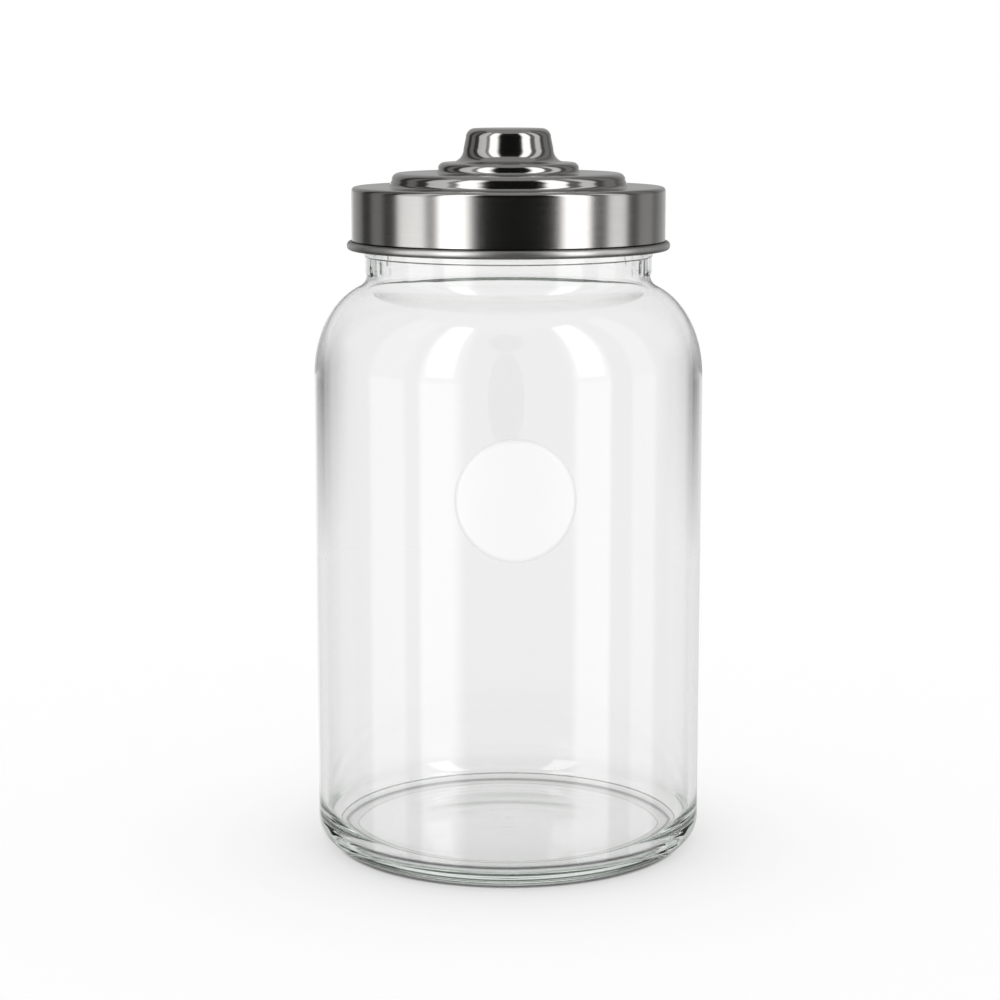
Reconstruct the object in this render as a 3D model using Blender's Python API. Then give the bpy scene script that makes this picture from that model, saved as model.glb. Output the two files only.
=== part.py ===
"""Clear glass storage jar with a stepped steel lid and a round sticker on its front.

Everything is turned about the vertical axis through the origin, which is the centre of the
jar's foot. The jar's front, with the sticker, faces -Y. Sizes are in metres.
"""

import math

import bmesh
import bpy
from mathutils import Vector

# Jar body
BODY_R = 0.075
WALL = 0.0034
FLOOR_Z = 0.0067
FLOOR_RISE = 0.0017
CORNER_WIDTH = 0.0077
CORNER_HEIGHT = 0.0127
HEEL_HEIGHT = 0.0105
FOOT_R = 0.0640
RECESS_R = 0.0600
RECESS_DEPTH = 0.0018
RECESS_SLOPE = 0.0040

# Shoulder and neck
SHOULDER_Z = 0.1855
SHOULDER_REACH = 0.0262
SHOULDER_RISE = 0.0358
NECK_R = 0.0546
NECK_WALL = 0.0026
NECK_FILLET = 0.0032
RIM_Z = 0.2566
RIM_ROUND = 0.0012

# Two low lugs moulded on the neck, one on each side
LUG_LOW_Z = 0.2240
LUG_HIGH_Z = 0.2312
LUG_RISE = 0.0009
LUG_HALF_ANGLE = math.radians(33)
LUG_END_ANGLE = math.radians(7)

# Lid, pressed from one sheet: a knob on two steps, a flat rim, a skirt and a rolled bead
SHEET = 0.0006
KNOB_TOP_Z = 0.2796
KNOB_R = 0.0163
KNOB_FOOT_R = 0.0172
KNOB_EDGE = 0.0035
KNOB_FLARE = 0.0050
STEP_1_Z = 0.2667
STEP_1_R = 0.0270
STEP_1_EDGE = 0.0024
STEP_2_Z = 0.2627
STEP_2_R = 0.0448
STEP_2_EDGE = 0.0028
STEP_FLARE = 0.0016
STEP_2_SLOPE = 0.0004
LID_RIM_Z = 0.2575
LID_RIM_EDGE = 0.0016
SKIRT_R = 0.0602
BEAD_Z = 0.2352
BEAD_R = 0.0621
BEAD_HALF_HEIGHT = 0.0016

# Sticker
STICKER_R = 0.0225
STICKER_Z = 0.1474
STICKER_THICK = 0.0002
GAP = 0.0003

# How finely the round shapes are cut
TURN_STEPS = 48
LUG_ROWS = 5
MERGE = 1e-6
STICKER_STEPS = 36
STICKER_RINGS = 4


def clear_scene():
    for old in list(bpy.data.objects):
        bpy.data.objects.remove(old, do_unlink=True)


def material(name, colour, roughness, metallic=0.0, transmission=0.0):
    """A plain finish. Its colour is the one seen on the real piece."""
    made = bpy.data.materials.new(name)
    made.use_nodes = True
    shader = made.node_tree.nodes["Principled BSDF"]
    shader.inputs["Base Color"].default_value = (*colour, 1.0)
    shader.inputs["Roughness"].default_value = roughness
    shader.inputs["Metallic"].default_value = metallic
    shader.inputs["Transmission Weight"].default_value = transmission
    made.diffuse_color = (*colour, 1.0)
    return made


def arc(centre, radii, start, end, count):
    """Points (r, z) on an ellipse's arc. Angles are in degrees, 0 outwards and 90 up."""
    points = []
    for i in range(count + 1):
        angle = math.radians(start + (end - start) * i / count)
        points.append((centre[0] + radii[0] * math.cos(angle), centre[1] + radii[1] * math.sin(angle)))
    return points


def rounded(before, corner, after, count):
    """Points that round off a corner between two points on its sides."""
    points = []
    for i in range(count + 1):
        t = i / count
        near, middle, far = (1 - t) ** 2, 2 * t * (1 - t), t**2
        points.append(
            tuple(near * a + middle * b + far * c for a, b, c in zip(before, corner, after))
        )
    return points


def shoulder():
    """The shoulder's outer line, from the top of the body's wall up to the foot of the neck."""
    centre_r = BODY_R - SHOULDER_REACH
    end = math.acos((NECK_R + NECK_FILLET - centre_r) / SHOULDER_REACH)
    line = arc((centre_r, SHOULDER_Z), (SHOULDER_REACH, SHOULDER_RISE), 0, math.degrees(end), 10)
    slope = SHOULDER_RISE / (SHOULDER_REACH * math.tan(end))
    corner = (NECK_R, line[-1][1] + NECK_FILLET * slope)
    return line[:-1] + rounded(line[-1], corner, (NECK_R, corner[1] + NECK_FILLET), 3)


def inset(line, low, high):
    """The line moved inwards by a wall that goes evenly from one thickness to another."""
    points = []
    last = len(line) - 1
    for i, (r, z) in enumerate(line):
        (r0, z0), (r1, z1) = line[max(0, i - 1)], line[min(last, i + 1)]
        wall = (low + (high - low) * i / last) / math.hypot(r1 - r0, z1 - z0)
        points.append((r - wall * (z1 - z0), z + wall * (r1 - r0)))
    return points


def turned(profile):
    """A solid turned from a profile whose two ends lie on the axis."""
    shape = bmesh.new()
    line = [shape.verts.new((r, 0.0, z)) for r, z in profile]
    edges = [shape.edges.new(pair) for pair in zip(line, line[1:])]
    bmesh.ops.spin(
        shape,
        geom=line + edges,
        axis=(0, 0, 1),
        cent=(0, 0, 0),
        angle=math.tau,
        steps=TURN_STEPS,
        use_merge=True,
    )
    bmesh.ops.remove_doubles(shape, verts=shape.verts, dist=MERGE)
    bmesh.ops.recalc_face_normals(shape, faces=shape.faces)
    return shape


def finished(shape, finish, name):
    """The mesh made into a named object, shaded smooth."""
    mesh = bpy.data.meshes.new(name)
    shape.to_mesh(mesh)
    shape.free()
    mesh.materials.append(finish)
    mesh.shade_smooth()
    mesh.set_sharp_from_angle(angle=math.radians(40))
    made = bpy.data.objects.new(name, mesh)
    bpy.context.scene.collection.objects.link(made)
    return made


def jar_inside():
    """The inner line, from the middle of the floor up to the rim."""
    inner_r = BODY_R - WALL
    neck_r = NECK_R - NECK_WALL
    line = [(0.0, FLOOR_Z + FLOOR_RISE)]
    corner = (inner_r - CORNER_WIDTH, FLOOR_Z + CORNER_HEIGHT)
    line += arc(corner, (CORNER_WIDTH, CORNER_HEIGHT), -90, 0, 5)
    line += inset(shoulder(), WALL, NECK_WALL)
    line += arc((neck_r + RIM_ROUND, RIM_Z - RIM_ROUND), (RIM_ROUND, RIM_ROUND), 180, 90, 3)
    return line


def jar_outside():
    """The outer line, from the rim down the neck, shoulder and wall to the middle of the base."""
    line = arc((NECK_R - RIM_ROUND, RIM_Z - RIM_ROUND), (RIM_ROUND, RIM_ROUND), 90, 0, 3)
    for i in range(LUG_ROWS + 1):
        line.append((NECK_R, LUG_HIGH_Z + (LUG_LOW_Z - LUG_HIGH_Z) * i / LUG_ROWS))
    line += reversed(shoulder())
    heel = (BODY_R - FOOT_R, HEEL_HEIGHT)
    line += arc((FOOT_R, HEEL_HEIGHT), heel, 0, -90, 6)
    slope_end = (RECESS_R - RECESS_SLOPE, RECESS_DEPTH)
    line += rounded((RECESS_R, 0.0), (RECESS_R - 0.5 * RECESS_SLOPE, 0.0), slope_end, 2)
    line.append((0.0, RECESS_DEPTH))
    return line


def raise_lugs(shape):
    """Pushes the neck out into a low lug on each side, with ends that run out smoothly."""
    for vert in shape.verts:
        x, y, z = vert.co
        radius = math.hypot(x, y)
        if abs(radius - NECK_R) > MERGE or not LUG_LOW_Z < z < LUG_HIGH_Z:
            continue
        from_side = math.atan2(abs(y), abs(x))
        across = min(1.0, max(0.0, (LUG_HALF_ANGLE - from_side) / LUG_END_ANGLE))
        up = math.sin(math.pi * (z - LUG_LOW_Z) / (LUG_HIGH_Z - LUG_LOW_Z))
        out = 1 + LUG_RISE * across * up / radius
        vert.co = Vector((x * out, y * out, z))


def build_jar(glass):
    shape = turned(jar_inside() + jar_outside())
    raise_lugs(shape)
    return finished(shape, glass, "jar")


def lid_line(inset):
    """The pressed sheet's line, from the knob's top to the skirt, inset from its outer face."""

    def edge(centre, radius):
        return arc(centre, (radius - inset, radius - inset), 90, 0, 3)

    def flare(centre, radius):
        return arc(centre, (radius + inset, radius + inset), 180, 270, 3)

    line = [(0.0, KNOB_TOP_Z - inset)]
    line += edge((KNOB_R - KNOB_EDGE, KNOB_TOP_Z - KNOB_EDGE), KNOB_EDGE)
    line += flare((KNOB_FOOT_R + KNOB_FLARE, STEP_1_Z + KNOB_FLARE), KNOB_FLARE)
    line += edge((STEP_1_R - STEP_1_EDGE, STEP_1_Z - STEP_1_EDGE), STEP_1_EDGE)
    line += flare((STEP_1_R + STEP_FLARE, STEP_2_Z + STEP_FLARE), STEP_FLARE)[1:]
    line += edge((STEP_2_R - STEP_2_EDGE, STEP_2_Z - STEP_2_EDGE), STEP_2_EDGE)
    line += flare((STEP_2_R + STEP_2_SLOPE + STEP_FLARE, LID_RIM_Z + STEP_FLARE), STEP_FLARE)
    line += edge((SKIRT_R - LID_RIM_EDGE, LID_RIM_Z - LID_RIM_EDGE), LID_RIM_EDGE)
    return line


def bead_line():
    """The rolled bead, from where it leaves the skirt, out, round and back to the inner wall."""
    inner_r = SKIRT_R - SHEET
    half_width = 0.5 * (BEAD_R - inner_r)
    centre_r = inner_r + half_width
    start = math.degrees(math.acos((SKIRT_R - centre_r) / half_width))
    return arc((centre_r, BEAD_Z), (half_width, BEAD_HALF_HEIGHT), start, -180, 8)


def build_lid(steel):
    inner = lid_line(SHEET)
    inner.reverse()
    return finished(turned(lid_line(0.0) + bead_line() + inner), steel, "lid")


def build_sticker(paper):
    """A flat disc, bent round the body's front and then given its thickness."""
    shape = bmesh.new()
    line = [shape.verts.new((STICKER_R * i / STICKER_RINGS, 0, 0)) for i in range(STICKER_RINGS + 1)]
    edges = [shape.edges.new(pair) for pair in zip(line, line[1:])]
    bmesh.ops.spin(
        shape,
        geom=line + edges,
        axis=(0, 0, 1),
        cent=(0, 0, 0),
        angle=math.tau,
        steps=STICKER_STEPS,
        use_merge=True,
    )
    bmesh.ops.remove_doubles(shape, verts=shape.verts, dist=MERGE)
    back_r = BODY_R + GAP
    for vert in shape.verts:
        angle = vert.co.x / back_r
        up = vert.co.y
        vert.co = Vector((back_r * math.sin(angle), -back_r * math.cos(angle), STICKER_Z + up))
    bmesh.ops.recalc_face_normals(shape, faces=shape.faces)
    if sum((face.normal for face in shape.faces), Vector()).y > 0:
        bmesh.ops.reverse_faces(shape, faces=shape.faces)
    made = finished(shape, paper, "sticker")
    thick = made.modifiers.new("thickness", "SOLIDIFY")
    thick.thickness = STICKER_THICK
    thick.offset = 1.0
    return made


clear_scene()
build_jar(material("clear_glass", (0.90, 0.93, 0.91), 0.03, transmission=1.0))
build_lid(material("brushed_steel", (0.56, 0.55, 0.53), 0.28, metallic=1.0))
build_sticker(material("white_sticker", (0.92, 0.92, 0.92), 0.45))
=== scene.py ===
import math

import bmesh
import bpy
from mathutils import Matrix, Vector


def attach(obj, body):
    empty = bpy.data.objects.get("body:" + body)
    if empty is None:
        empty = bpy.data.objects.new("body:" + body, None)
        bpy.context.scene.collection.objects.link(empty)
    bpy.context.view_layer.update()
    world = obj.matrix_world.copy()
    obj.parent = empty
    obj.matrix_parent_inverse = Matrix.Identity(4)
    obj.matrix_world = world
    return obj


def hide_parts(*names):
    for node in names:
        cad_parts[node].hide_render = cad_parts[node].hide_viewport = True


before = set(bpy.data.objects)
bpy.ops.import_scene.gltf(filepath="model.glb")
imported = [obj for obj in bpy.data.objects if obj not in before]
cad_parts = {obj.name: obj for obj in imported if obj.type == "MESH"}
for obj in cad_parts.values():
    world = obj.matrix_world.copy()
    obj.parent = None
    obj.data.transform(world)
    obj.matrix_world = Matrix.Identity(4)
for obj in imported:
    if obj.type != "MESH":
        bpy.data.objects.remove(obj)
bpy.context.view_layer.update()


# The jar is one piece of clear moulded glass, blown in a two-part mould. It has a straight body
# on a rounded heel, a round shoulder and a short neck with a low lug on each side for the lid.
# It stands on a flat ring round a shallow recess.

BODY_R = 0.0750
BODY_WALL = 0.0034
FLOOR_TOP = 0.0067
FLOOR_CROWN = 0.0017
FLOOR_RINGS = 8
FLOOR_CORNER_WIDTH = 0.0077
FLOOR_CORNER_HEIGHT = 0.0127
HEEL_HEIGHT = 0.0105
HEEL_R = 0.0632
HEEL_LIFT = 0.0003
FOOT_R = 0.0600
HOLLOW_DEPTH = 0.0018
HOLLOW_RINGS = 12
SHOULDER_FOOT = 0.1855
SHOULDER_REACH = 0.0262
SHOULDER_RISE = 0.0358
NECK_R = 0.0546
NECK_WALL = 0.0026
NECK_FILLET = 0.0032
LEDGE_LOW = 0.2308
LEDGE_HIGH = 0.2315
LEDGE = 0.0009
MOUTH_Z = 0.2566
MOUTH_ROUND = 0.0013
LUG_ROWS = 14
LUG_ROLL = 0.0010
LUG_SOFT = math.radians(1.5)
LUG_LOW = 0.2240
# Degrees from the side where each raised patch starts and ends, its bottom and top, its rise
LUG_PATCHES = [
    (0.0, 17.5, LUG_LOW, 0.2330, 0.0005),
    (24.0, 28.0, 0.2246, 0.2306, 0.0003),
    (31.5, 34.5, 0.2250, 0.2288, 0.0002),
]
GLASS_TINT = (0.950, 0.951, 0.949, 1.0)
PAINTED_SHADE_TINT = (0.12, 0.12, 0.12, 1.0)
PAINTED_SHADE_HALF_WIDTH = 0.00026
# Radius of each thin ring of painted shade in the glass's colour, between which heights, and its strength:
# one in the inner corner of the floor, one where the foot stands on the floor
PAINTED_SHADE_RINGS = [
    (0.0670, 0.0060, 0.0090, 0.9),
    (0.0600, -0.001, 0.0010, 0.85),
]
WAVES_PER_METRE = (26.0, 26.0, 9.0)
WAVE_STRENGTH = 0.03
WAVE_HEIGHT = 0.002
GLASS_DEPTH_TINT = (0.875, 0.90, 0.88, 1.0)
GLASS_DEPTH = 18.0
GLASS_IOR = 1.5
TURNS = 360
MERGE = 1e-6
LONG_STRETCH = 0.0016
SHARP_CORNER = math.radians(35)


def arc(centre, radii, start, end, count):
    """Points (r, z) along an ellipse's arc. Angles are in degrees, 0 outwards and 90 up."""
    points = []
    for i in range(count + 1):
        angle = math.radians(start + (end - start) * i / count)
        points.append((centre[0] + radii[0] * math.cos(angle), centre[1] + radii[1] * math.sin(angle)))
    return points


def eased(before, corner, after, count):
    """Points (r, z) that round off a corner between two points on its sides."""
    points = []
    for i in range(count + 1):
        t = i / count
        near, middle, far = (1 - t) ** 2, 2 * t * (1 - t), t**2
        points.append(tuple(near * a + middle * b + far * c for a, b, c in zip(before, corner, after)))
    return points


def steadied(line):
    """The line with two more points on each long stretch, which keep its shading straight."""
    points = [line[0]]
    for (r0, z0), (r1, z1) in zip(line, line[1:]):
        length = math.hypot(r1 - r0, z1 - z0)
        if length > LONG_STRETCH:
            t = 0.25 * LONG_STRETCH / length
            points.append((r0 + (r1 - r0) * t, z0 + (z1 - z0) * t))
            points.append((r1 + (r0 - r1) * t, z1 + (z0 - z1) * t))
        points.append((r1, z1))
    return points


def turned(line):
    """A closed shape turned about the axis from a line whose two ends lie on it."""
    shape = bmesh.new()
    points = [shape.verts.new((r, 0.0, z)) for r, z in steadied(line)]
    edges = [shape.edges.new(pair) for pair in zip(points, points[1:])]
    bmesh.ops.spin(
        shape,
        geom=points + edges,
        axis=(0, 0, 1),
        cent=(0, 0, 0),
        angle=math.tau,
        steps=TURNS,
        use_merge=True,
    )
    bmesh.ops.remove_doubles(shape, verts=shape.verts, dist=MERGE)
    bmesh.ops.recalc_face_normals(shape, faces=shape.faces)
    return shape


def set_down(shape, name, finish):
    """Turns a finished shape into an object at the origin, shaded smooth."""
    mesh = bpy.data.meshes.new(name)
    shape.to_mesh(mesh)
    shape.free()
    mesh.shade_smooth()
    mesh.set_sharp_from_angle(angle=SHARP_CORNER)
    mesh.materials.append(finish)
    piece = bpy.data.objects.new(name, mesh)
    bpy.context.scene.collection.objects.link(piece)
    return piece


class Wire:
    """One output of a finish's nodes. Arithmetic and comparisons with it add Math nodes."""

    def __init__(self, finish, socket):
        self.finish = finish
        self.socket = socket

    def __add__(self, other):
        return self.finish.maths("ADD", self, other)

    def __sub__(self, other):
        return self.finish.maths("SUBTRACT", self, other)

    def __rsub__(self, other):
        return self.finish.maths("SUBTRACT", other, self)

    def __mul__(self, other):
        return self.finish.maths("MULTIPLY", self, other)

    def __lt__(self, other):
        return self.finish.maths("LESS_THAN", self, other)

    def __gt__(self, other):
        return self.finish.maths("GREATER_THAN", self, other)

    __radd__ = __add__
    __rmul__ = __mul__


class Finish:
    """A finish that is built from shader nodes."""

    def __init__(self, name):
        self.material = bpy.data.materials.new(name)
        self.material.use_nodes = True
        self.tree = self.material.node_tree
        self.tree.nodes.clear()

    def node(self, kind, settings=None, values=None, output=0):
        """Adds a node. Settings are set before its sockets get their values or links."""
        made = self.tree.nodes.new(kind)
        for name, value in (settings or {}).items():
            if name == "stops":
                ramp = made.color_ramp.elements
                while len(ramp) > 1:
                    ramp.remove(ramp[-1])
                for i, (place, colour) in enumerate(value):
                    stop = ramp[0] if i == 0 else ramp.new(place)
                    stop.position = place
                    stop.color = colour
            else:
                setattr(made, name, value)
        for name, value in (values or {}).items():
            if isinstance(value, Wire):
                self.tree.links.new(value.socket, made.inputs[name])
            else:
                made.inputs[name].default_value = value
        return Wire(self, made.outputs[output])

    def maths(self, operation, *values):
        """Adds a Math node. Each value is a number or a wire."""
        return self.node("ShaderNodeMath", {"operation": operation}, dict(enumerate(values)))

    def mixed(self, amount, first, second):
        """Goes from the first colour to the second by an amount from 0 to 1."""
        return self.node("ShaderNodeMix", {"data_type": "RGBA"}, {0: amount, 6: first, 7: second}, output=2)

    def place(self):
        """Where a point is on the object, in metres."""
        return self.node("ShaderNodeTexCoord", output="Object")

    def parts(self, vector):
        """The x, y and z of a vector."""
        split = self.node("ShaderNodeSeparateXYZ", values={"Vector": vector})
        return [Wire(self, socket) for socket in split.socket.node.outputs]

    def output(self, **wires):
        """Links the finished wires, such as Surface, and gives back the material."""
        end = self.tree.nodes.new("ShaderNodeOutputMaterial")
        for name, wire in wires.items():
            self.tree.links.new(wire.socket, end.inputs[name])
        return self.material


def jar_line():
    """The glass's line, from the middle of the floor up inside, over the mouth and down outside."""
    inner_r = BODY_R - BODY_WALL
    bore_r = NECK_R - NECK_WALL
    floor_r = inner_r - FLOOR_CORNER_WIDTH
    line = []
    for i in range(FLOOR_RINGS):
        t = i / FLOOR_RINGS
        line.append((floor_r * t, FLOOR_TOP + FLOOR_CROWN * (1 - t)))
    corner = (FLOOR_CORNER_WIDTH, FLOOR_CORNER_HEIGHT)
    line += arc((floor_r, FLOOR_TOP + FLOOR_CORNER_HEIGHT), corner, -90, 0, 24)
    shoulder = shoulder_line()
    line += inset(shoulder, BODY_WALL, NECK_WALL)
    mouth_r = NECK_R + LEDGE
    rounding = (MOUTH_ROUND, MOUTH_ROUND)
    line += arc((bore_r + MOUTH_ROUND, MOUTH_Z - MOUTH_ROUND), rounding, 180, 90, 8)
    line += arc((mouth_r - MOUTH_ROUND, MOUTH_Z - MOUTH_ROUND), rounding, 90, 0, 8)
    line += eased((mouth_r, LEDGE_HIGH), (mouth_r, LEDGE_LOW), (NECK_R, LEDGE_LOW), 6)
    for i in range(1, LUG_ROWS):
        line.append((NECK_R, LEDGE_LOW + (LUG_LOW - LEDGE_LOW) * i / LUG_ROWS))
    line += reversed(shoulder)
    line += arc((HEEL_R, HEEL_HEIGHT), (BODY_R - HEEL_R, HEEL_HEIGHT - HEEL_LIFT), 0, -88, 20)
    for i in range(HOLLOW_RINGS + 1):
        t = 1 - i / HOLLOW_RINGS
        line.append((FOOT_R * t, HOLLOW_DEPTH * (1 - t**2) ** 2))
    return line


def shoulder_line():
    """The shoulder's outer curve, from the top of the body's wall up to the foot of the neck."""
    centre_r = BODY_R - SHOULDER_REACH
    end = math.acos((NECK_R + NECK_FILLET - centre_r) / SHOULDER_REACH)
    line = arc((centre_r, SHOULDER_FOOT), (SHOULDER_REACH, SHOULDER_RISE), 0, math.degrees(end), 32)
    slope = SHOULDER_RISE / (SHOULDER_REACH * math.tan(end))
    corner = (NECK_R, line[-1][1] + NECK_FILLET * slope)
    return line[:-1] + eased(line[-1], corner, (NECK_R, corner[1] + NECK_FILLET), 10)


def inset(line, low, high):
    """The line moved inwards by a wall that goes evenly from one thickness to another."""
    points = []
    for i, (r, z) in enumerate(line):
        (r0, z0), (r1, z1) = line[max(0, i - 1)], line[min(len(line) - 1, i + 1)]
        wall = (low + (high - low) * i / (len(line) - 1)) / math.hypot(r1 - r0, z1 - z0)
        points.append((r - wall * (z1 - z0), z + wall * (r1 - r0)))
    return points


def smooth(t):
    """Goes smoothly from 0 to 1 as t does."""
    t = min(1.0, max(0.0, t))
    return t * t * (3 - 2 * t)


def raise_lugs(shape):
    """Pushes the neck out into a low lug on each side, with two small ribs beside its ends."""
    for vert in shape.verts:
        x, y, z = vert.co
        radius = math.hypot(x, y)
        if radius < NECK_R - MERGE or not LUG_LOW < z < LEDGE_HIGH:
            continue
        from_side = math.atan2(abs(y), abs(x))
        rise = 0.0
        for start, end, low, high, height in LUG_PATCHES:
            across = smooth((math.radians(end) - from_side) / LUG_SOFT)
            if start:
                across *= smooth((from_side - math.radians(start)) / LUG_SOFT)
            up = smooth((z - low) / LUG_ROLL) * smooth((high - z) / LUG_ROLL)
            rise = max(rise, height * across * up)
        out = max(radius, NECK_R + rise) / radius
        vert.co = Vector((x * out, y * out, z))


def clear_glass():
    """Clear glass, a little green where it is thick, with the faint waves of a moulded wall and two thin
    rings of painted shade.
    """
    finish = Finish("clear_glass")
    place = finish.place()
    stretched = finish.node("ShaderNodeMapping", values={"Vector": place, "Scale": WAVES_PER_METRE})
    waves = finish.node("ShaderNodeTexNoise", values={"Vector": stretched, "Scale": 1.0, "Detail": 1.0})
    wavy = finish.node(
        "ShaderNodeBump",
        values={"Strength": WAVE_STRENGTH, "Distance": WAVE_HEIGHT, "Height": waves},
    )
    x, y, z = finish.parts(place)
    radius = finish.maths("SQRT", x * x + y * y)
    # Two thin rings of the glass's colour are darkened: painted shade in the inner corner of the floor and at
    # the foot.
    painted_shade = 0.0
    for shade_ring_r, low, high, strength in PAINTED_SHADE_RINGS:
        near = finish.maths("COMPARE", radius, shade_ring_r, PAINTED_SHADE_HALF_WIDTH)
        painted_shade = near * (z > low) * (z < high) * strength + painted_shade
    tint = finish.mixed(painted_shade, GLASS_TINT, PAINTED_SHADE_TINT)
    glass = finish.node(
        "ShaderNodeBsdfPrincipled",
        values={
            "Base Color": tint,
            "Roughness": 0.0,
            "IOR": GLASS_IOR,
            "Transmission Weight": 1.0,
            "Normal": wavy,
        },
    )
    depth = finish.node(
        "ShaderNodeVolumeAbsorption",
        values={"Color": GLASS_DEPTH_TINT, "Density": GLASS_DEPTH},
    )
    return finish.output(Surface=glass, Volume=depth)


jar_shape = turned(jar_line())
raise_lugs(jar_shape)
jar = set_down(jar_shape, "glass_jar", clear_glass())
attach(jar, "root")
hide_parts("jar")


# The lid is pressed from one stainless sheet: a knob on two steps, a flat rim and a skirt that
# ends in a rolled bead. The skirt is brushed round, the steps and the knob are smoother. It
# only rests on the mouth of the jar.

SHEET = 0.0006
KNOB_TOP = 0.2796
KNOB_R = 0.0163
KNOB_FOOT_R = 0.0172
KNOB_EDGE = 0.0035
KNOB_FLARE = 0.0050
UPPER_STEP_Z = 0.2667
UPPER_STEP_R = 0.0270
UPPER_STEP_EDGE = 0.0024
LOWER_STEP_Z = 0.2627
LOWER_STEP_R = 0.0448
LOWER_STEP_EDGE = 0.0028
LOWER_STEP_SLOPE = 0.0004
STEP_FLARE = 0.0016
LID_RIM_Z = 0.2575
LID_RIM_EDGE = 0.0016
SKIRT_R = 0.0602
BEAD_Z = 0.2352
BEAD_R = 0.0621
BEAD_HALF_HEIGHT = 0.0016
CREVICE_HEIGHT = 0.0007
CREVICE_DEPTH = 0.0004
SKIRT_TOP_Z = 0.2560
STEEL_COLOUR = (0.53, 0.52, 0.505, 1.0)
# Heights above the bead's middle, with how bright its colour is there: a painted highlight across its upper
# middle and painted shade on its underside
BEAD_PAINTED_LIGHT = [
    (-0.0016, 0.22), (-0.0009, 0.20), (-0.0004, 0.55), (0.0004, 0.85), (0.0010, 0.80), (0.0014, 0.35),
]
# Brushing lines for each metre round the lid and across it
BRUSH_ALONG = 30.0
BRUSH_ACROSS = 2600.0
BRUSH_STRENGTH = 0.06
BRUSH_DEPTH = 0.0002
STEEL_ROUGHNESS = 0.11
SKIRT_ROUGHNESS = 0.06
BEAD_ROUGHNESS = 0.20
STEEL_SPREAD = 0.04
SKIRT_SPREAD = 0.08
# Painted shade for the narrow groove between the skirt and the bead
CREVICE_PAINTED_SHADE = (0.02, 0.02, 0.02, 1.0)


def lid_line(inset):
    """The pressed sheet's line, from the knob's top to the skirt, inset from its outer face."""

    def edge(centre, radius):
        return arc(centre, (radius - inset, radius - inset), 90, 0, 12)

    def flare(centre, radius):
        return arc(centre, (radius + inset, radius + inset), 180, 270, 12)

    line = [(0.0, KNOB_TOP - inset)]
    line += edge((KNOB_R - KNOB_EDGE, KNOB_TOP - KNOB_EDGE), KNOB_EDGE)
    line += flare((KNOB_FOOT_R + KNOB_FLARE, UPPER_STEP_Z + KNOB_FLARE), KNOB_FLARE)
    line += edge((UPPER_STEP_R - UPPER_STEP_EDGE, UPPER_STEP_Z - UPPER_STEP_EDGE), UPPER_STEP_EDGE)
    line += flare((UPPER_STEP_R + STEP_FLARE, LOWER_STEP_Z + STEP_FLARE), STEP_FLARE)[1:]
    line += edge((LOWER_STEP_R - LOWER_STEP_EDGE, LOWER_STEP_Z - LOWER_STEP_EDGE), LOWER_STEP_EDGE)
    line += flare((LOWER_STEP_R + LOWER_STEP_SLOPE + STEP_FLARE, LID_RIM_Z + STEP_FLARE), STEP_FLARE)
    line += edge((SKIRT_R - LID_RIM_EDGE, LID_RIM_Z - LID_RIM_EDGE), LID_RIM_EDGE)
    return line


def bead_line():
    """The rolled bead, from where it leaves the skirt, out, round and back to the inner wall."""
    inner_r = SKIRT_R - SHEET
    half_width = 0.5 * (BEAD_R - inner_r)
    centre_r = inner_r + half_width
    start = math.degrees(math.acos((SKIRT_R - centre_r) / half_width))
    bead = arc((centre_r, BEAD_Z), (half_width, BEAD_HALF_HEIGHT), start, -180, 24)
    top_z = bead[0][1]
    deep_r = SKIRT_R - CREVICE_DEPTH
    return [(SKIRT_R, top_z + CREVICE_HEIGHT), (deep_r, top_z + 0.8 * CREVICE_HEIGHT), (deep_r, top_z), *bead]


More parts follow.
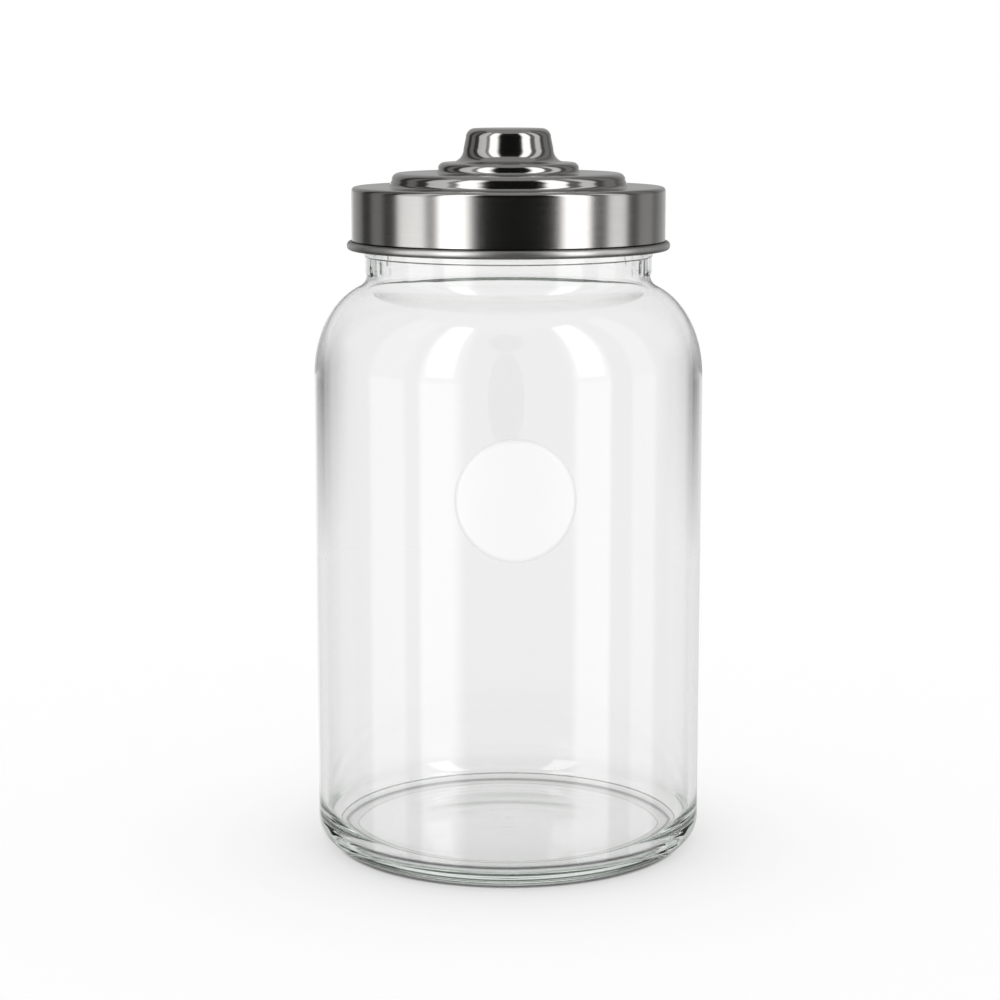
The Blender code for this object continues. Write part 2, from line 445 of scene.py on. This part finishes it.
def brushed_steel():
    """Stainless steel, brushed round the lid, so that its lines run the same way as the edge."""
    finish = Finish("brushed_steel")
    x, y, z = finish.parts(finish.place())
    radius = finish.maths("SQRT", x * x + y * y)
    lines = finish.node(
        "ShaderNodeCombineXYZ",
        values={"X": x * BRUSH_ALONG, "Y": y * BRUSH_ALONG, "Z": z * BRUSH_ACROSS},
    )
    brush = finish.node(
        "ShaderNodeTexNoise",
        {"noise_dimensions": "4D"},
        {"Vector": lines, "W": radius * BRUSH_ACROSS, "Scale": 1.0, "Detail": 4.0, "Roughness": 0.6},
    )
    skirt = z < SKIRT_TOP_Z
    bead = z < BEAD_Z + BEAD_HALF_HEIGHT
    rough = STEEL_ROUGHNESS + skirt * SKIRT_ROUGHNESS + bead * BEAD_ROUGHNESS
    rough = rough + brush * (STEEL_SPREAD + skirt * SKIRT_SPREAD)
    scratched = finish.node(
        "ShaderNodeBump",
        values={"Strength": BRUSH_STRENGTH, "Distance": BRUSH_DEPTH, "Height": brush},
    )
    # The groove above the bead is painted near black: painted shade in the crevice.
    painted_crevice_shade = (radius < SKIRT_R - 0.1 * CREVICE_DEPTH) * (radius > SKIRT_R - 1.1 * CREVICE_DEPTH)
    painted_crevice_shade = painted_crevice_shade * (z < BEAD_Z + BEAD_HALF_HEIGHT + CREVICE_HEIGHT) * (z > BEAD_Z)
    # The bead's colour carries a painted highlight above its middle and painted shade on its underside.
    span = 2 * BEAD_HALF_HEIGHT
    stops = [(up / span + 0.5, (grey, grey * 0.99, grey * 0.96, 1.0)) for up, grey in BEAD_PAINTED_LIGHT]
    painted_bead_light = finish.node("ShaderNodeValToRGB", {"stops": stops}, {"Fac": (z - BEAD_Z) * (1.0 / span) + 0.5})
    colour = finish.mixed(bead, STEEL_COLOUR, painted_bead_light)
    colour = finish.mixed(painted_crevice_shade, colour, CREVICE_PAINTED_SHADE)
    steel = finish.node(
        "ShaderNodeBsdfPrincipled",
        values={
            "Base Color": colour,
            "Metallic": 1.0,
            "Roughness": rough,
            "Anisotropic": 0.7,
            "Anisotropic Rotation": 0.25,
            "Normal": scratched,
        },
    )
    return finish.output(Surface=steel)


inner_sheet = lid_line(SHEET)
inner_sheet.reverse()
lid = set_down(turned(lid_line(0.0) + bead_line() + inner_sheet), "steel_lid", brushed_steel())
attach(lid, "root")
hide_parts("lid")


# The sticker is a round piece of white coated paper, pressed onto the front of the body, so it
# is bent round the glass. It is bare, and its cut edge shows as a thin grey line.

STICKER_R = 0.0225
STICKER_Z = 0.1474
STICKER_THICK = 0.0002
STICKER_GAP = 0.0003
STICKER_TURNS = 120
STICKER_RINGS = 10
PAPER_COLOUR = (0.97, 0.97, 0.97, 1.0)
PAPER_ROUGHNESS = 0.35
GRAIN_SPREAD = 0.1
GRAIN_PER_METRE = 1800.0


def white_paper():
    """White coated paper with a faint grain."""
    finish = Finish("white_paper")
    grain = finish.node(
        "ShaderNodeTexNoise",
        values={"Vector": finish.place(), "Scale": GRAIN_PER_METRE, "Detail": 3.0},
    )
    uneven = finish.node("ShaderNodeBump", values={"Strength": 0.05, "Distance": 0.0001, "Height": grain})
    paper = finish.node(
        "ShaderNodeBsdfPrincipled",
        values={
            "Base Color": PAPER_COLOUR,
            "Roughness": grain * GRAIN_SPREAD + PAPER_ROUGHNESS,
            "Normal": uneven,
        },
    )
    return finish.output(Surface=paper)


def sticker_shape():
    """A disc bent round the front of the body. Its thickness is added afterwards by a modifier."""
    shape = bmesh.new()
    line = [shape.verts.new((STICKER_R * i / STICKER_RINGS, 0, 0)) for i in range(STICKER_RINGS + 1)]
    edges = [shape.edges.new(pair) for pair in zip(line, line[1:])]
    bmesh.ops.spin(
        shape,
        geom=line + edges,
        axis=(0, 0, 1),
        cent=(0, 0, 0),
        angle=math.tau,
        steps=STICKER_TURNS,
        use_merge=True,
    )
    bmesh.ops.remove_doubles(shape, verts=shape.verts, dist=MERGE)
    back_r = BODY_R + STICKER_GAP
    for vert in shape.verts:
        angle = vert.co.x / back_r
        up = vert.co.y
        vert.co = Vector((back_r * math.sin(angle), -back_r * math.cos(angle), STICKER_Z + up))
    bmesh.ops.recalc_face_normals(shape, faces=shape.faces)
    if sum((face.normal for face in shape.faces), Vector()).y > 0:
        bmesh.ops.reverse_faces(shape, faces=shape.faces)
    return shape


sticker = set_down(sticker_shape(), "round_sticker", white_paper())
thickness = sticker.modifiers.new("thickness", "SOLIDIFY")
thickness.thickness = STICKER_THICK
thickness.offset = 1.0
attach(sticker, "root")
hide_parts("sticker")


# The jar stands on a pale floor in a white studio. Cards stand round it, out of the camera's
# sight: a soft box on each side of the camera, rings of grey cards that show only in
# reflections, and grey flags behind, which give the clear glass its darker edges.

CAMERA_SIDE = -2.07
FLOOR_SPREAD = 30.0
FLOOR_WHITE = 0.29
FLOOR_GLOW = 0.71
SHADOW_REACH = 0.16
# Distances from the axis with how bright the floor's glow is there
SHADOW = [
    (0.0, 0.95), (0.059, 0.93), (0.061, 0.78), (0.0643, 0.70), (0.0654, 0.05), (0.0670, 0.05),
    (0.0688, 0.76), (0.074, 0.84), (0.084, 0.90), (0.098, 0.95), (0.118, 0.98), (0.16, 1.0),
]
CARD_R = 1.6
CARDS_LOW = -2.2
CARDS_HIGH = 2.6
LID_LEVEL = 0.262
BOX_R = 1.5
BOX_BRIGHT = 6.0
FLAG_R = 0.65
FLAG_MIDDLE = 0.12
FLAG_TOP = 0.24
# The height where a card is one plain grey, the height where it has its full pattern, and the grey
BOX_FADE = (0.0, 0.8, 1.0)
FLAG_FADE = (0.0, 0.11, 1.0)
FLAG_TOP_FADE = (FLAG_TOP, FLAG_MIDDLE, 1.0)
LOWER_FADE = (-0.9, -0.4, 0.15)
CEILING_R = 1.7
CEILING_GREY = 0.35

# Cards are given as bearings from the jar, in degrees to the right of the camera, with the
# brightness that each has there.
LEFT_BOX = [(-51, 1.0), (-48, BOX_BRIGHT), (-34, BOX_BRIGHT), (-31, 1.0)]
RIGHT_BOX = [(40, 1.0), (43, BOX_BRIGHT), (57, BOX_BRIGHT), (60, 1.0)]
LOWER_CARDS = [
    (-180, 0.9), (-161, 0.9), (-156, 0.55), (-134, 0.26), (-130, 0.05), (-119, 0.05), (-115, 0.27),
    (-104, 0.27), (-100, 0.05), (-88, 0.05), (-85, 1.5), (-63, 1.75), (-60, 0.36), (-53, 0.36),
    (-50, 2.8), (-32, 2.8), (-24, 0.10), (-20, 0.008), (30, 0.008), (36, 0.10), (41, 2.5), (59, 2.5),
    (62, 0.13), (74, 0.13), (77, 1.3), (92, 1.3), (96, 0.10), (105, 0.10), (110, 0.38),
    (126, 0.38), (131, 0.17), (180, 0.9),
]
UPPER_CARDS = [
    (-180, 0.42), (-156, 0.38), (-134, 0.26), (-130, 0.05), (-119, 0.05), (-115, 0.21),
    (-104, 0.21), (-100, 0.05), (-88, 0.05), (-85, 0.8), (-63, 0.9), (-60, 0.32), (-53, 0.32),
    (-50, 2.0), (-32, 2.0), (-24, 0.10), (-20, 0.01), (30, 0.01), (35, 0.10), (40, 2.0), (59, 2.0),
    (62, 0.17), (74, 0.17), (77, 0.9), (92, 0.9), (96, 0.10), (105, 0.10), (110, 0.25),
    (126, 0.25), (131, 0.13), (160, 0.38), (180, 0.42),
]
EDGE_FLAGS = [
    (-180, 1.0), (-166, 1.0), (-157, 0.40), (-136, 0.25), (-122, 1.0), (122, 1.0), (136, 0.25),
    (155, 0.40), (164, 1.0), (180, 1.0),
]


def pale_floor():
    """A white floor that glows as if lit from below, apart from a soft shadow round the jar's foot."""
    finish = Finish("pale_floor")
    x, y, _ = finish.parts(finish.place())
    radius = finish.maths("SQRT", x * x + y * y)
    stops = [(r / SHADOW_REACH, (b, b, b, 1.0)) for r, b in SHADOW]
    glow = finish.node("ShaderNodeValToRGB", {"stops": stops}, {"Fac": radius * (1.0 / SHADOW_REACH)})
    floor = finish.node(
        "ShaderNodeBsdfPrincipled",
        values={
            "Base Color": (FLOOR_WHITE, FLOOR_WHITE, FLOOR_WHITE, 1.0),
            "Roughness": 1.0,
            "Specular IOR Level": 0.0,
            "Emission Color": glow,
            "Emission Strength": FLOOR_GLOW,
        },
    )
    return finish.output(Surface=floor)


def card_light(name, cards, fade=None):
    """Light whose brightness depends on the bearing round the jar. It can fade to one grey with height."""
    finish = Finish(name)
    x, y, z = finish.parts(finish.place())
    turn = finish.maths("ARCTAN2", x, 0.0 - y) * (1 / math.tau)
    bearing = finish.maths("FRACT", turn + (0.5 - CAMERA_SIDE / 360))
    brightest = max(brightness for _, brightness in cards)
    stops = [((at + 180) / 360, (b / brightest, b / brightest, b / brightest, 1.0)) for at, b in cards]
    shade = finish.node("ShaderNodeValToRGB", {"stops": stops}, {"Fac": bearing})
    if fade:
        plain_z, full_z, grey = fade
        full = finish.node("ShaderNodeMapRange", values={"Value": z, "From Min": plain_z, "From Max": full_z})
        plain = (grey / brightest, grey / brightest, grey / brightest, 1.0)
        shade = finish.mixed(full, plain, shade)
    light = finish.node("ShaderNodeEmission", values={"Color": shade, "Strength": brightest})
    return finish.output(Surface=light)


def card_ring(name, cards, radius, low, high, seen_in, fade=None):
    """Upright cards round the jar, from the first bearing in their list to the last."""
    first, last = (math.radians(cards[i][0] + CAMERA_SIDE) for i in (0, -1))
    shape = bmesh.new()
    foot = shape.verts.new((radius * math.sin(first), -radius * math.cos(first), low))
    head = shape.verts.new((foot.co.x, foot.co.y, high))
    edge = shape.edges.new((foot, head))
    bmesh.ops.spin(
        shape,
        geom=[foot, head, edge],
        axis=(0, 0, 1),
        cent=(0, 0, 0),
        angle=last - first,
        steps=max(8, round(math.degrees(last - first) / 2)),
    )
    seen_only_in(set_down(shape, name, card_light(name + "_light", cards, fade)), seen_in)


def seen_only_in(piece, seen_in):
    """Hides a studio piece from every kind of ray but one."""
    for sight in ("camera", "diffuse", "glossy", "transmission", "volume_scatter", "shadow"):
        setattr(piece, "visible_" + sight, sight == seen_in)


floor_shape = bmesh.new()
bmesh.ops.create_circle(floor_shape, cap_ends=True, segments=96, radius=FLOOR_SPREAD)
floor = set_down(floor_shape, "floor", pale_floor())
floor.visible_glossy = False
card_ring("left_soft_box", LEFT_BOX, BOX_R, 0.0, CARDS_HIGH, "transmission", BOX_FADE)
card_ring("right_soft_box", RIGHT_BOX, BOX_R, 0.0, CARDS_HIGH, "transmission", BOX_FADE)
card_ring("lower_cards", LOWER_CARDS, CARD_R, CARDS_LOW, LID_LEVEL, "glossy", LOWER_FADE)
card_ring("upper_cards", UPPER_CARDS, CARD_R, LID_LEVEL, CARDS_HIGH, "glossy")
card_ring("edge_flags", EDGE_FLAGS, FLAG_R, 0.0, FLAG_MIDDLE, "transmission", FLAG_FADE)
card_ring("edge_flag_tops", EDGE_FLAGS, FLAG_R, FLAG_MIDDLE, FLAG_TOP, "transmission", FLAG_TOP_FADE)
ceiling_shape = bmesh.new()
bmesh.ops.create_circle(ceiling_shape, cap_ends=True, segments=48, radius=CEILING_R)
bmesh.ops.translate(ceiling_shape, verts=ceiling_shape.verts, vec=(0, 0, CARDS_HIGH))
ceiling_light = card_light("ceiling_light", [(-180, CEILING_GREY), (180, CEILING_GREY)])
seen_only_in(set_down(ceiling_shape, "ceiling_card", ceiling_light), "glossy")

world = bpy.data.worlds.new("white_studio")
world.use_nodes = True
background = world.node_tree.nodes["Background"]
background.inputs["Color"].default_value = (1.0, 1.0, 1.0, 1.0)
background.inputs["Strength"].default_value = 1.0
bpy.context.scene.world = world
bpy.context.scene.view_settings.view_transform = "Standard"

# Light goes to and fro many times in the thick glass of the heel
bpy.context.scene.cycles.max_bounces = 64
bpy.context.scene.cycles.glossy_bounces = 56
bpy.context.scene.cycles.transmission_bounces = 32


# The camera stands a metre in front of the jar, a little to the left of the sticker, and looks
# down at the jar from above its lid.

CAMERA_DISTANCE = 0.9965
CAMERA_HEIGHT = 0.298
CAMERA_DOWN = 9.25
CAMERA_LEFT = 0.186
CAMERA_LENS = 93.0

lens = bpy.data.cameras.new("camera")
lens.lens = CAMERA_LENS
lens.sensor_width = 36.0
camera = bpy.data.objects.new("camera", lens)
side = math.radians(CAMERA_SIDE)
camera.location = (CAMERA_DISTANCE * math.sin(side), -CAMERA_DISTANCE * math.cos(side), CAMERA_HEIGHT)
camera.rotation_euler = (math.radians(90 - CAMERA_DOWN), 0, side + math.radians(CAMERA_LEFT))
bpy.context.scene.collection.objects.link(camera)
bpy.context.scene.camera = camera
